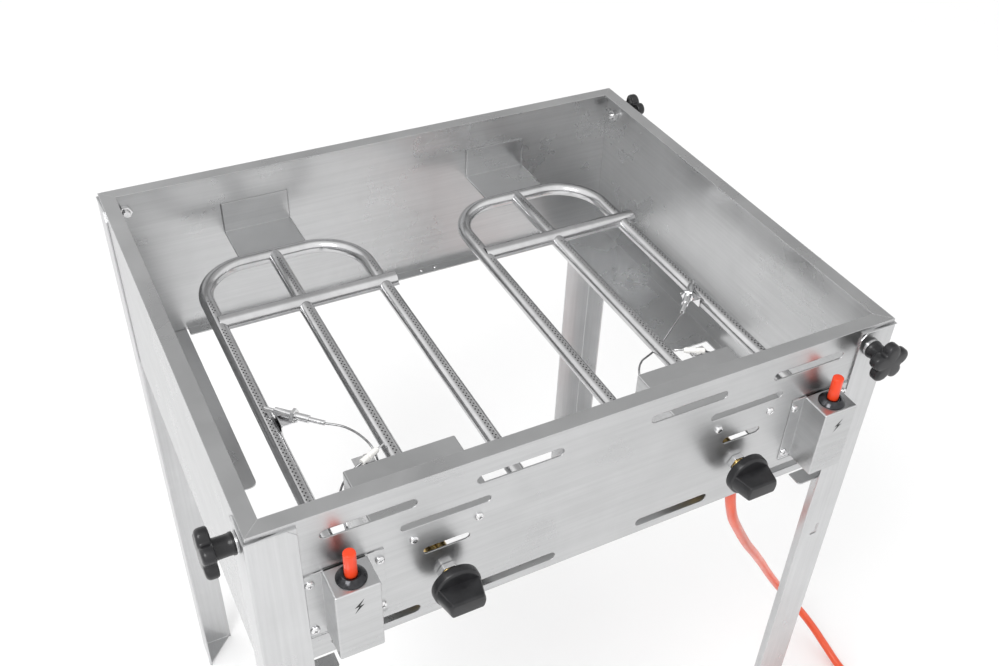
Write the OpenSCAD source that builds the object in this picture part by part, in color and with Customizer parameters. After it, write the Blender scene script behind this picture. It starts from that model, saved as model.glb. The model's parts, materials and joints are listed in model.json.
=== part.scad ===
// Two-burner gas grill stand: a folded sheet-metal tray on four clamped angle legs,
// with two tubular burners, their valves and igniters, and a gas hose.
// Millimetres, +Z up, front towards -Y. The floor is z = 0 and x = 0 is the tray's middle.

/* [Tray] */
// Height of the rim above the floor
rim_height = 820; // [800:1:840]
// Width of the tray from side to side
tray_width = 650; // [646:1:670]
// Depth of the tray from front to back
tray_depth = 540; // [538:1:544]
// Height of the front panel
front_height = 177; // [175:1:185]
// Height of the back and side panels
wall_height = 209; // [200:1:220]
// Thickness of the tray's sheet
sheet = 1.5; // [1:0.1:2]
// Width of the lip that is folded inwards round the rim
rim_lip = 15.5; // [10:0.5:20]
// Width of the inward flange under each side panel
side_flange = 64; // [40:1:70]
// Width of the inward flange under the front and back panels
edge_flange = 15; // [10:1:16]

/* [Burners] */
// Distance of each burner's centre line from the tray's middle
burner_x = 157; // [155:1:159]
// Distance between neighbouring branches of a burner
branch_pitch = 93; // [90:1:95]
// Outside diameter of the burner tube
tube_d = 16; // [14:1:18]
// Wall of the burner tube
tube_wall = 1; // [0.8:0.1:1.5]
// Depth of the burner tubes' axes below the rim
tube_drop = 88; // [86:1:90]
// Centre-line radius of the burner's rear corners
corner_r = 58; // [50:1:62]

/* [Legs and clamps] */
// Width of each flange of the angle legs
leg_flange = 42.5; // [38:0.5:50]
// Thickness of the legs
leg_sheet = 2; // [1.5:0.1:3]
// Diameter of the clamp screws
stud_d = 8; // [6:1:8]
// Diameter of the star head of a clamp knob
star_d = 44; // [40:1:50]
// How far a clamp knob stands out of its leg
clamp_reach = 30; // [28:1:36]

/* [Controls] */
// Depth of the valve spindles below the rim
valve_drop = 124; // [122:1:126]
// Diameter of the valve knobs' skirts
knob_d = 45; // [40:1:50]
// How far a valve knob stands out of the front panel
knob_reach = 46; // [44:1:50]
// Distance of each igniter from the tray's middle
igniter_x = 249.5; // [248:0.5:251]
// Diameter of the igniter buttons
button_d = 11; // [9:0.5:11]

/* [Gas hose] */
// Outside diameter of the hose
hose_d = 12; // [10:1:12]
// Radius of the hose's coil at the middle of its turns
coil_r = 66; // [62:1:72]

/* [Hidden] */

$fn = 48;
half_w = tray_width / 2;
half_d = tray_depth / 2;

// Slots of the front panel: [x of the middle, depth below the rim, length, height].
air_slots = concat(
    [for (side = [-1, 1], x = [87, 225], z = [-25, -163]) [side * x, z, 84, 10]],
    [for (side = [-1, 1]) [side * burner_x, -51, 84, 8]],
    [for (side = [-1, 1]) [side * burner_x, -89, 44, 8]]
);

// Burner: straight rear run, closed front ends, and the centre tube's open mouth.
burner_back = 206;
burner_front = -225;
mouth_y = -196;
bridge_y = 103;
bridge_reach = 108;

// Shield box behind each valve.
box_half = 55.5;
box_back = -166;
box_top = -73;
box_bottom = -148;
box_sheet = 1;
box_screw_x = 30.5;
box_screw_z = -69;

// Valve: neck through the panel, plug and spindle inside, gas inlet below, outlet above.
neck_r = 7;
stem_r = 4;
tip_r = 2.5;
plug_r = 6;
fit = 0.06;
inlet_y = -240;
outlet_y = -228;
manifold_z = -160;
manifold_r = 7;
nozzle_x = 190;

// Igniter box on the front panel.
igniter_half = 20;
igniter_depth = 33;
igniter_top = -66;
igniter_bottom = -147;
igniter_sheet = 1;
button_y = -287;
button_top = -35;
button_foot = -85;
piezo_floor = -112;
spring_turns = 7;
spring_r = 4.6;
spring_wire = 0.5;

// Clamps: [middle of the knob's seat below the rim, direction of the knob].
clamp_drop = 27;
clamp_inset = 26;
washer_t = 1.5;
nut_t = 6.5;
bolt_head = 5.5;

// The origin is below the middle of the stand's own box, knobs included.
centre_shift = (knob_reach - leg_sheet - washer_t - bolt_head) / 2;

// Route of the hose from the nozzle to its coil on the floor.
hose_route = [
    [190, -221.5, 636], [191, -221.5, 614], [196, -219.5, 592], [204, -215.5, 570],
    [214, -210.5, 547], [228, -202.5, 521], [249, -191.5, 486], [275, -176.5, 444],
    [308, -158.5, 392], [343, -141.5, 340], [370, -125.5, 299], [397, -111.5, 258],
    [434, -96.5, 199], [472, -88.5, 140], [499, -92.5, 101], [521, -105.5, 69],
    [537, -126.5, 42], [546, -152.5, 21], [549, -182.5, 9], [550, -214.5, 6.5],
    [550, -246.5, 6.1], [550, -278.5, 6.1]
];
coil_centre = [550 - coil_r, -278.5];
tail_route = [[484, -344.5, 18], [462, -344.5, 18], [440, -344.5, 18], [420, -344.5, 18], [402, -344.5, 18]];
regulator_r = 27;
inlet_thread_r = 10.4;

// Leads: the thermocouples' to the valves' tails, and the electrodes' to the piezo units.
left_probe_lead = [
    [-204, -98, -76], [-190, -108, -77], [-180, -124, -78], [-174, -142, -82], [-173, -154, -95],
    [-173, -160, -120], [-172, -162, -145], [-168, -172, -156], [-162, -192, -154], [-157, -210, -136],
    [-157, -214, -124]
];
right_probe_lead = [
    [204, -96, -76], [188, -104, -84], [172, -110, -96], [157, -116, -100], [142, -124, -97],
    [128, -136, -88], [116, -149, -84], [112, -158, -92], [112, -161, -115], [114, -163, -145],
    [126, -172, -156], [146, -190, -154], [157, -210, -136], [157, -214, -124]
];
spark_lead = [
    [249.5, -287, -138], [249.5, -285, -142], [249, -279, -143], [248, -266, -143], [240, -250, -146],
    [229, -226, -140], [222, -196, -124], [218, -168, -106], [207, -159.5, -90], [191, -158, -79]
];

function unit(v) = v / norm(v);
function heading(p, i) = unit(p[min(i + 1, len(p) - 1)] - p[max(i - 1, 0)]);
function squared(n, t) = unit(n - (n * t) * t);

// Normals carried along a path, so that a swept section doesn't twist.
function normals(p, i, n) =
    i == len(p) ? [] :
    let (m = squared(n, heading(p, i)))
    concat([m], normals(p, i + 1, m));

// One point of the smooth curve through p, between p[i] and p[i + 1].
function curve_point(p, i, t) =
    let (a = p[max(i - 1, 0)], b = p[i], c = p[i + 1], d = p[min(i + 2, len(p) - 1)])
    0.5 * (2 * b + (c - a) * t + (2 * a - 5 * b + 4 * c - d) * t * t
           + (3 * b - a - 3 * c + d) * t * t * t);
function smooth(p, steps) = concat(
    [for (i = [0 : len(p) - 2], s = [0 : steps - 1]) curve_point(p, i, s / steps)],
    [p[len(p) - 1]]
);

// A round section swept along a path, closed at both ends.
module swept(path, radius, sides) {
    first = heading(path, 0);
    start = abs(first.z) > 0.7 ? [1, 0, 0] : [0, 0, 1];
    side = normals(path, 0, start);
    rings = [for (i = [0 : len(path) - 1])
        let (u = side[i], v = cross(heading(path, i), u))
        [for (k = [0 : sides - 1])
            path[i] + radius * (cos(360 * k / sides) * u + sin(360 * k / sides) * v)]];
    points = [for (ring = rings, point = ring) point];
    last = len(points) - sides;
    skin = [for (i = [0 : len(path) - 2], k = [0 : sides - 1])
        let (a = i * sides + k, b = i * sides + (k + 1) % sides)
        [a, a + sides, b + sides, b]];
    polyhedron(points, concat(
        skin,
        [[for (k = [0 : sides - 1]) k]],
        [[for (k = [0 : sides - 1]) last + sides - 1 - k]]
    ));
}

// The tray's frame: its origin is the middle of the rim's top.
module at_rim() {
    translate([0, centre_shift, rim_height])
        children();
}

// Cylinders along X and Y from a starting point.
module rod_x(start, length, r) {
    translate(start)
        rotate([0, 90, 0])
            cylinder(h = length, r = r);
}

module rod_y(start, length, r) {
    translate(start)
        rotate([-90, 0, 0])
            cylinder(h = length, r = r);
}

// A strip with 45 degree ends, its outer edge along X.
module mitred_strip(length, width) {
    polygon([
        [-length / 2, 0], [length / 2, 0],
        [length / 2 - width, width], [-length / 2 + width, width]
    ]);
}

// A wall with its lip, its outer face at y = -offset.
module lipped_wall(length, offset, height) {
    translate([0, -offset, -height])
        linear_extrude(height)
            mitred_strip(length, sheet);
    translate([0, -offset, -sheet])
        linear_extrude(sheet)
            mitred_strip(length, rim_lip);
}

module round_slot(length, height, depth) {
    rotate([90, 0, 0])
        linear_extrude(depth, center = true) {
            square([length - height, height], center = true);
            for (end = [-1, 1])
                translate([end * (length - height) / 2, 0])
                    circle(d = height);
        }
}

// A rectangle from the origin whose corner at (width, 0) is round.
module eared_plate(width, length, r) {
    linear_extrude(sheet) {
        translate([0, r])
            square([width, length - r]);
        square([width - r, length]);
        translate([width - r, r])
            circle(r = r);
    }
}

// Moves a clamp's parts from its own axis (+Z outwards, seat at z = 0) to its leg.
// The front-left and back-right clamps face sideways, the other two forwards and backwards.
module at_clamp(name) {
    across = half_w - clamp_inset + leg_sheet;
    along = half_d - clamp_inset + leg_sheet;
    at_rim()
        if (name == "front_left")
            translate([-half_w - leg_sheet, -along, -clamp_drop])
                rotate([0, -90, 0])
                    children();
        else if (name == "back_right")
            translate([half_w + leg_sheet, along, -clamp_drop])
                rotate([0, 90, 0])
                    children();
        else if (name == "front_right")
            translate([across, -half_d - leg_sheet, -clamp_drop])
                rotate([90, 0, 0])
                    children();
        else
            translate([-across, half_d + leg_sheet, -clamp_drop])
                rotate([-90, 0, 0])
                    children();
}

CLAMPS = ["front_left", "front_right", "back_left", "back_right"];

module clamp_hole(name) {
    at_clamp(name)
        translate([0, 0, -6])
            cylinder(h = 12, d = stud_d + 1);
}

// Screws of the front panel: [x, z, how far in front of the panel the head sits].
module each_panel_screw() {
    for (side = [-1, 1], end = [-1, 1]) {
        translate([side * burner_x + end * box_screw_x, -half_d, box_screw_z])
            children();
        for (z = [-77.5, -137.5])
            translate([side * igniter_x + end * box_screw_x, -half_d - igniter_sheet, z])
                children();
    }
}

module front_panel() {
    color("silver")
        difference() {
            at_rim() {
                lipped_wall(tray_width, half_d, front_height);
                translate([-half_w + 3, -half_d, -front_height])
                    cube([tray_width - 6, edge_flange, sheet]);
            }
            at_rim() {
                for (s = air_slots)
                    translate([s[0], -half_d, s[1]])
                        round_slot(s[2], s[3], 8);
                for (side = [-1, 1]) {
                    rod_y([side * burner_x, -half_d - 4, -valve_drop], 8, neck_r + 0.3);
                    rod_y([side * igniter_x, -half_d - 4, -142], 8, 5);
                }
                each_panel_screw()
                    rod_y([0, -4, 0], 8, 2.1);
            }
            clamp_hole("front_right");
        }
}

module back_panel() {
    color("silver")
        difference() {
            at_rim()
                rotate([0, 0, 180]) {
                    lipped_wall(tray_width, half_d, wall_height);
                    translate([-half_w + side_flange + 2, -half_d, -wall_height])
                        cube([tray_width - 2 * side_flange - 4, edge_flange, sheet]);
                }
            clamp_hole("back_left");
        }
}

// The left side panel; its bottom flange is cut away behind a front tab.
module side_panel() {
    lip_ends = 2;
    flange_front = -22;
    tab = 17;
    strip = 12;
    rotate([0, 0, -90])
        lipped_wall(tray_depth, half_w, wall_height);
    translate([-half_w, flange_front, -wall_height])
        eared_plate(side_flange, half_d - flange_front - lip_ends, 8);
    translate([-half_w, -half_d + lip_ends, -wall_height])
        eared_plate(side_flange, tab, 4);
    translate([-half_w, -half_d + lip_ends, -wall_height])
        cube([strip, half_d, sheet]);
}

module left_panel() {
    color("silver")
        difference() {
            at_rim()
                side_panel();
            clamp_hole("front_left");
        }
}

module right_panel() {
    color("silver")
        difference() {
            at_rim()
                mirror([1, 0, 0])
                    side_panel();
            clamp_hole("back_right");
        }
}

// An angle leg with a foot plate, drawn for the front right corner.
module leg(sx, sy, name) {
    top = 5;
    height = rim_height - top;
    bevel = 12;
    foot = 38;
    color("gainsboro")
        difference() {
            at_rim()
                mirror([sx < 0 ? 1 : 0, 0, 0])
                    mirror([0, sy > 0 ? 1 : 0, 0])
                        translate([half_w + leg_sheet, -half_d - leg_sheet, -rim_height])
                            difference() {
                                union() {
                                    translate([-leg_flange, 0, 0])
                                        cube([leg_flange, leg_sheet, height]);
                                    translate([-leg_sheet, 0, 0])
                                        cube([leg_sheet, leg_flange, height]);
                                    linear_extrude(leg_sheet)
                                        polygon([[0, 0], [-foot, 0], [-foot, 4], [-4, foot], [0, foot]]);
                                }
                                translate([-leg_flange, -1, height])
                                    rotate([0, 45, 0])
                                        cube([bevel, 4, bevel], center = true);
                                translate([-leg_sheet - 1, leg_flange, height])
                                    rotate([45, 0, 0])
                                        cube([8, bevel, bevel], center = true);
                            }
            clamp_hole(name);
            at_rim()
                leg_hook_slot(name);
        }
}

// A hook-shaped slot for a shelf's stud, in the flange that holds the clamp.
module leg_hook_slot(name) {
    if (name == "front_right")
        translate([half_w - 19, -half_d, -297])
            hook_slot();
    if (name == "back_left")
        translate([-half_w + 19, half_d, -297])
            rotate([0, 0, 180])
                hook_slot();
}

module hook_slot() {
    rotate([0, 90, 0])
        round_slot(17, 4, 8);
    translate([-3, 0, -6])
        round_slot(9, 5, 8);
}

module leg_front_left() leg(-1, -1, "front_left");
module leg_front_right() leg(1, -1, "front_right");
module leg_back_left() leg(-1, 1, "back_left");
module leg_back_right() leg(1, 1, "back_right");

// Five-lobed star knob with its moulded-in screw.
module clamp_knob(name) {
    head = 11.5;
    lobe_r = 7.5;
    edge = 3;
    under = clamp_reach - head;
    color([0.1, 0.1, 0.1])
        at_clamp(name) {
            translate([0, 0, washer_t])
                cylinder(h = under - washer_t + 1, r = 9.7);
            intersection() {
                translate([0, 0, under])
                    linear_extrude(head) {
                        circle(d = star_d - 13);
                        for (k = [0 : 4])
                            rotate(72 * k + 18)
                                translate([star_d / 2 - lobe_r, 0])
                                    circle(r = lobe_r);
                    }
                translate([0, 0, under])
                    rotate_extrude() {
                        square([star_d / 2 - edge, head]);
                        translate([0, edge])
                            square([star_d / 2, head - 2 * edge]);
                        for (z = [edge, head - edge])
                            translate([star_d / 2 - edge, z])
                                circle(r = edge);
                    }
            }
            translate([0, 0, -14])
                cylinder(h = 18, d = stud_d);
        }
}

module clamp_washer(name) {
    color("lightgray")
        at_clamp(name)
            difference() {
                cylinder(h = washer_t, r = 9);
                translate([0, 0, -1])
                    cylinder(h = washer_t + 2, d = stud_d + 0.6);
            }
}

module clamp_knob_front_left() clamp_knob("front_left");
module clamp_knob_front_right() clamp_knob("front_right");
module clamp_knob_back_right() clamp_knob("back_right");
module clamp_washer_front_left() clamp_washer("front_left");
module clamp_washer_front_right() clamp_washer("front_right");
module clamp_washer_back_right() clamp_washer("back_right");
module corner_washer() clamp_washer("back_left");

// Plain hex bolt of the back left leg.
module corner_bolt() {
    color("lightgray")
        at_clamp("back_left") {
            translate([0, 0, washer_t])
                cylinder(h = bolt_head, r = 7.5, $fn = 6);
            translate([0, 0, -14])
                cylinder(h = 14 + washer_t + 1, d = stud_d);
        }
}

module clamp_nuts() {
    color("lightgray")
        for (name = CLAMPS)
            at_clamp(name)
                translate([0, 0, -leg_sheet - sheet - nut_t])
                    difference() {
                        cylinder(h = nut_t, r = 7.5, $fn = 6);
                        translate([0, 0, -1])
                            cylinder(h = nut_t + 2, r = stud_d / 2 + fit);
                    }
}

// The burner's outer loop as a solid of radius r: two branches, two corners and the rear run.
module loop_solid(r) {
    straight = burner_back - corner_r - burner_front;
    translate([0, 0, -tube_drop]) {
        for (end = [-1, 1]) {
            rod_y([end * branch_pitch, burner_front, 0], straight, r);
            translate([end * branch_pitch, burner_front, 0])
                sphere(r = r);
            translate([end * (branch_pitch - corner_r), burner_back - corner_r, 0])
                rotate([0, 0, end > 0 ? 0 : 90])
                    rotate_extrude(angle = 90)
                        translate([corner_r, 0])
                            circle(r = r);
        }
        rod_x([-branch_pitch + corner_r, burner_back, 0], 2 * (branch_pitch - corner_r), r);
    }
}

module at_burner(side) {
    at_rim()
        translate([side * burner_x, 0, 0])
            children();
}

module burner_loop(side) {
    color("lightsteelblue")
        at_burner(side)
            difference() {
                loop_solid(tube_d / 2);
                loop_solid(tube_d / 2 - tube_wall);
                rod_y([0, burner_back - tube_d / 2 - 2, -tube_drop], 6, tube_d / 2 - 3);
            }
}

module burner_loop_left() burner_loop(-1);
module burner_loop_right() burner_loop(1);

// The centre tube: open mouth at the front, saddle joint on the rear run.
module burner_centre(side) {
    length = burner_back - mouth_y;
    color("lightsteelblue")
        at_burner(side)
            difference() {
                rod_y([0, mouth_y, -tube_drop], length, tube_d / 2);
                rod_y([0, mouth_y - 1, -tube_drop], length + 2, tube_d / 2 - tube_wall);
                rod_x([-20, burner_back, -tube_drop], 40, tube_d / 2 + 0.02);
            }
}

module burner_centre_left() burner_centre(-1);
module burner_centre_right() burner_centre(1);

// Half-round channel that carries the flame from branch to branch.
module flame_bridge(side) {
    r = 8.6;
    skin = 1;
    lip = 3;
    length = branch_pitch + bridge_reach;
    base = -tube_drop + 1.5;
    color("silver")
        at_burner(side)
            difference() {
                union() {
                    rod_x([-branch_pitch, bridge_y, base], length, r + skin);
                    translate([-branch_pitch, bridge_y - r - skin - lip, base])
                        cube([length, 2 * (r + skin + lip), skin]);
                }
                rod_x([-branch_pitch - 1, bridge_y, base], length + 2, r);
                translate([-branch_pitch - 1, bridge_y - 20, base - 20])
                    cube([length + 2, 40, 20]);
                for (x = [-branch_pitch, 0, branch_pitch])
                    rod_y([x, bridge_y - 30, -tube_drop], 60, tube_d / 2 + 0.05);
            }
}

module flame_bridge_left() flame_bridge(-1);
module flame_bridge_right() flame_bridge(1);

// Angle bracket that holds the rear run of a burner to the back panel.
module rear_bracket(side) {
    half = 40;
    color("silver")
        at_burner(side)
            difference() {
                union() {
                    translate([-half, half_d - 2 * sheet, -84])
                        cube([2 * half, sheet, 39]);
                    translate([-half, burner_back, -84])
                        cube([2 * half, half_d - sheet - burner_back, sheet]);
                }
                rod_x([-half - 1, burner_back, -tube_drop], 2 * half + 2, tube_d / 2 + 0.05);
                translate([-half - 1, burner_back - 1, -86])
                    cube([2 * half + 2, 6, 6]);
            }
}

module rear_bracket_left() rear_bracket(-1);
module rear_bracket_right() rear_bracket(1);

// Heat shield round a valve: a box open below, screwed to the front panel.
module valve_box(side) {
    front = -half_d + sheet;
    depth = box_back - front;
    wall_h = box_top - box_bottom;
    color("silver")
        at_burner(side)
            difference() {
                union() {
                    translate([-box_half, front, box_top - box_sheet])
                        cube([2 * box_half, depth, box_sheet]);
                    for (x = [-box_half, box_half - box_sheet])
                        translate([x, front, box_bottom])
                            cube([box_sheet, depth, wall_h]);
                    translate([-box_half, box_back - box_sheet, box_bottom])
                        cube([2 * box_half, box_sheet, wall_h]);
                    translate([-box_half, front, box_top - box_sheet])
                        cube([2 * box_half, box_sheet, 14]);
                }
                rod_y([0, box_back - 5, -tube_drop], 10, tube_d / 2 + 0.3);
                for (end = [-1, 1])
                    rod_y([end * box_screw_x, front - 2, box_screw_z], 6, 2.1);
            }
}

module valve_box_left() valve_box(-1);
module valve_box_right() valve_box(1);

// Brass gas valve: neck, barrel, inlet stub below and outlet stub above.
module valve_body(side) {
    neck_front = -half_d - 7.5;
    barrel_front = -half_d + sheet;
    barrel_back = -214;
    color("goldenrod")
        at_burner(side)
            difference() {
                union() {
                    rod_y([0, neck_front, -valve_drop], 20, neck_r);
                    rod_y([0, barrel_front, -valve_drop], barrel_back - barrel_front, 11);
                    translate([0, inlet_y, manifold_z + manifold_r - 1])
                        cylinder(h = -valve_drop - manifold_z - manifold_r + 1, r = 6.5);
                    translate([0, outlet_y, -valve_drop])
                        cylinder(h = valve_drop - tube_drop + 8, r = 8);
                }
                rod_y([0, neck_front - 1, -valve_drop], 17, stem_r + fit);
                rod_y([0, -262, -valve_drop], 26, plug_r + fit);
                translate([0, inlet_y, manifold_z])
                    cylinder(h = -valve_drop - manifold_z, r = 3);
                translate([0, outlet_y, -valve_drop + 8])
                    cylinder(h = valve_drop - tube_drop - 6, r = 3);
                rod_y([0, outlet_y - 1, -tube_drop], 12, 3);
            }
}

module valve_body_left() valve_body(-1);
module valve_body_right() valve_body(1);

// Rotary plug inside the valve; the spindle slides in its socket.
module valve_plug(side) {
    color("darkgoldenrod")
        at_burner(side)
            difference() {
                rod_y([0, -257.5, -valve_drop], 21, plug_r);
                rod_y([0, -258, -valve_drop], 14, tip_r + fit);
                translate([0, inlet_y, -valve_drop - plug_r - 1])
                    cylinder(h = plug_r, r = 2);
            }
}

module valve_plug_left() valve_plug(-1);
module valve_plug_right() valve_plug(1);

module valve_stem(side) {
    color("lightgray")
        at_burner(side) {
            rod_y([0, -300, -valve_drop], 38, stem_r);
            rod_y([0, -263, -valve_drop], 11, tip_r);
        }
}

module valve_stem_left() valve_stem(-1);
module valve_stem_right() valve_stem(1);

// Black control knob: round skirt with a raised grip bar.
module valve_knob(side) {
    skirt = 9.5;
    edge = 3;
    depth = 30;
    grip_w = 17;
    color([0.08, 0.08, 0.08])
        at_burner(side)
            translate([0, -half_d - knob_reach + depth, -valve_drop])
                rotate([90, 0, 0])
                    difference() {
                        union() {
                            rotate_extrude() {
                                square([knob_d / 2 - edge, skirt]);
                                square([knob_d / 2, skirt - edge]);
                                translate([knob_d / 2 - edge, skirt - edge])
                                    circle(r = edge);
                            }
                            intersection() {
                                translate([0, 0, skirt])
                                    cylinder(h = depth - skirt, r1 = 21, r2 = 17);
                                translate([-knob_d / 2, -grip_w / 2, 0])
                                    cube([knob_d, grip_w, depth]);
                            }
                        }
                        translate([0, 0, -1])
                            cylinder(h = 15, r = stem_r);
                    }
}

module valve_knob_left() valve_knob(-1);
module valve_knob_right() valve_knob(1);

module valve_nut(side) {
    color("lightgray")
        at_burner(side)
            translate([0, -half_d, -valve_drop])
                rotate([90, 0, 0])
                    difference() {
                        cylinder(h = 6, r = 10.4, $fn = 6);
                        translate([0, 0, -1])
                            cylinder(h = 8, r = neck_r + 0.02);
                    }
}

module valve_nut_left() valve_nut(-1);
module valve_nut_right() valve_nut(1);

// Brass jets that aim at the mouths of the centre tubes.
module injectors() {
    color("goldenrod")
        for (side = [-1, 1])
            at_burner(side)
                difference() {
                    union() {
                        rod_y([0, outlet_y + 7.5, -tube_drop], 6, 4.5);
                        rod_y([0, outlet_y + 13, -tube_drop], 12, 3);
                    }
                    rod_y([0, outlet_y + 7, -tube_drop], 15, 2);
                    rod_y([0, outlet_y + 20, -tube_drop], 8, 0.6);
                }
}

// Supply pipe under both valves, with an elbow down to the hose.
module gas_manifold() {
    left = -burner_x - 12;
    color("silver")
        at_rim()
            difference() {
                union() {
                    rod_x([left, inlet_y, manifold_z], nozzle_x - left, manifold_r);
                    translate([nozzle_x, inlet_y, manifold_z - 12])
                        cylinder(h = 21, r = 9);
                }
                rod_x([left + 3, inlet_y, manifold_z], nozzle_x - left - 3, manifold_r - 1.5);
                translate([nozzle_x, inlet_y, manifold_z - 13])
                    cylinder(h = 16, r = 5);
                for (side = [-1, 1])
                    translate([side * burner_x, inlet_y, manifold_z])
                        cylinder(h = 12, r = 6.55);
            }
}

module hose_nozzle() {
    color("goldenrod")
        at_rim()
            translate([nozzle_x, inlet_y, manifold_z - 24])
                difference() {
                    union() {
                        cylinder(h = 6.5, r = 8);
                        translate([0, 0, 6])
                            cylinder(h = 6, r = 10.4, $fn = 6);
                    }
                    translate([0, 0, -1])
                        cylinder(h = 14, r = 4);
                }
}

module at_igniter(side) {
    at_rim()
        translate([side * igniter_x, 0, 0])
            children();
}

// Sheet box on the front panel that holds the igniter, open towards the panel.
module igniter_box(side) {
    front = -half_d - igniter_depth;
    height = igniter_top - igniter_bottom;
    wing = 34.8;
    color("silver")
        at_igniter(side)
            difference() {
                union() {
                    translate([-igniter_half, front, igniter_bottom])
                        cube([2 * igniter_half, igniter_depth, height]);
                    translate([-wing, -half_d - igniter_sheet, igniter_bottom])
                        cube([2 * wing, igniter_sheet, height]);
                }
                translate([-igniter_half + igniter_sheet, front + igniter_sheet,
                           igniter_bottom + igniter_sheet])
                    cube([2 * (igniter_half - igniter_sheet), igniter_depth,
                          height - 2 * igniter_sheet]);
                translate([0, button_y, igniter_top - 5])
                    cylinder(h = 10, r = 7);
                for (end = [-1, 1], z = [-77.5, -137.5])
                    rod_y([end * box_screw_x, -half_d - 4, z], 8, 2.1);
            }
}

module igniter_box_left() igniter_box(-1);
module igniter_box_right() igniter_box(1);

// Piezo spark unit: a barrel under the box's top and a neck through it.
module piezo(side) {
    color([0.12, 0.12, 0.12])
        at_igniter(side)
            translate([0, button_y, 0])
                difference() {
                    union() {
                        translate([0, 0, -138])
                            cylinder(h = igniter_top - igniter_sheet + 138, r = 8.5);
                        translate([0, 0, -70])
                            cylinder(h = igniter_top + 74, r = 6.9);
                    }
                    translate([0, 0, piezo_floor])
                        cylinder(h = 60, r = button_d / 2 + fit);
                }
}

module piezo_left() piezo(-1);
module piezo_right() piezo(1);

module igniter_collars() {
    color([0.2, 0.2, 0.2])
        for (side = [-1, 1])
            at_igniter(side)
                translate([0, button_y, igniter_top])
                    rotate_extrude()
                        polygon([
                            [6.95, 0], [13.2, 0], [13.2, 1], [8.2, 5.5],
                            [5.85, 5.5], [5.85, 4.2], [6.95, 4.2]
                        ]);
}

module button(side) {
    r = button_d / 2;
    color("orangered")
        at_igniter(side)
            translate([0, button_y, 0])
                rotate_extrude()
                    polygon([
                        [0, button_foot], [r, button_foot], [r, button_top - 1.6],
                        [r - 0.5, button_top - 0.5], [r - 1.6, button_top], [0, button_top]
                    ]);
}

module button_left() button(-1);
module button_right() button(1);

// Return spring between the button's foot and the piezo unit's floor.
module button_spring(side) {
    low = piezo_floor + spring_wire;
    high = button_foot - spring_wire;
    steps = spring_turns * 12;
    coil = [for (i = [0 : steps])
        [spring_r * cos(30 * i), spring_r * sin(30 * i), low + (high - low) * i / steps]];
    color("lightgray")
        at_igniter(side)
            translate([0, button_y, 0])
                swept(coil, spring_wire, 6);
}

module button_spring_left() button_spring(-1);
module button_spring_right() button_spring(1);

// Flame sensor in its clip on the outer branch, drawn for the left burner.
module thermocouple(side) {
    tip_y = side < 0 ? -53 : -51;
    tip_z = -76;
    lean = -44.3;
    clip = 1.2;
    clip_x = tube_d / 2 + 0.1;
    clip_y = -28;
    color("lightgray")
        at_rim()
            mirror([side > 0 ? 1 : 0, 0, 0])
                translate([-burner_x - branch_pitch, tip_y, tip_z]) {
                    rotate([0, 0, lean]) {
                        rod_x([0, 0, 0], 20, 2.2);
                        rod_x([12, 0, 0], 36, 4);
                        rod_x([46, 0, 0], 18, 2.6);
                        translate([30, 0, 0])
                            rotate([0, 90, 0])
                                cylinder(h = 4, r = 7.5, $fn = 6);
                    }
                    translate([clip_x, clip_y, -16])
                        cube([clip, 22, 14]);
                    translate([clip_x, clip_y, -4.7])
                        cube([16, 18, clip]);
                }
}

module thermocouple_left() thermocouple(-1);
module thermocouple_right() thermocouple(1);

// Spark electrode: ceramic body on a plate behind the valve box, pin beside the centre tube.
module electrode(side) {
    color("whitesmoke")
        at_rim()
            mirror([side < 0 ? 1 : 0, 0, 0]) {
                translate([191, -158, -79])
                    rotate([0, 0, 152]) {
                        rod_x([0, 0, 0], 22, 3.2);
                        rod_x([21, 0, 0], 11, 1);
                    }
                translate([0, 0, -84])
                    linear_extrude(1.2)
                        polygon([[173, box_back], [199, box_back], [199, -142], [186, -142], [173, -152]]);
                translate([178, -160, -83.5])
                    cube([8, 12, 4]);
            }
}

module electrode_left() electrode(-1);
module electrode_right() electrode(1);

module leads() {
    lead_r = 1.1;
    color("gray")
        at_rim() {
            swept(smooth(left_probe_lead, 3), lead_r, 8);
            swept(smooth(right_probe_lead, 3), lead_r, 8);
            swept(smooth(spark_lead, 3), lead_r, 8);
            swept(smooth([for (p = spark_lead) [-p.x, p.y, p.z]], 3), lead_r, 8);
        }
}

// Pan-head screws of the shield boxes, the igniter boxes and the back flange.
module pan_screw(length) {
    rotate([90, 0, 0]) {
        translate([0, 0, -length])
            cylinder(h = length + 0.5, r = 2);
        intersection() {
            cylinder(h = 3, r = 4.2);
            translate([0, 0, -2.6])
                sphere(r = 5);
        }
    }
}

module screws() {
    color("lightgray") {
        at_rim()
            each_panel_screw()
                pan_screw(5);
        at_rim()
            for (x = [50, 70])
                translate([x, half_d - 8, -wall_height + sheet])
                    rotate([90, 0, 0])
                        intersection() {
                            translate([0, 3, 0])
                                cube(6, center = true);
                            sphere(r = 2.5);
                        }
    }
}

module gas_hose() {
    color("orangered")
        swept(smooth(hose_route, 2), hose_d / 2, 12);
}

// The coil lies on the floor as two stacked turns.
module hose_coil() {
    r = hose_d / 2;
    color("orangered")
        translate(coil_centre)
            rotate_extrude()
                translate([coil_r, 0]) {
                    translate([0, r])
                        circle(r = r);
                    translate([0, 3 * r])
                        circle(r = r);
                    translate([-r, r])
                        square([2 * r, 2 * r]);
                }
}

module hose_tail() {
    color("orangered")
        swept(tail_route, hose_d / 2, 12);
}

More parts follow.
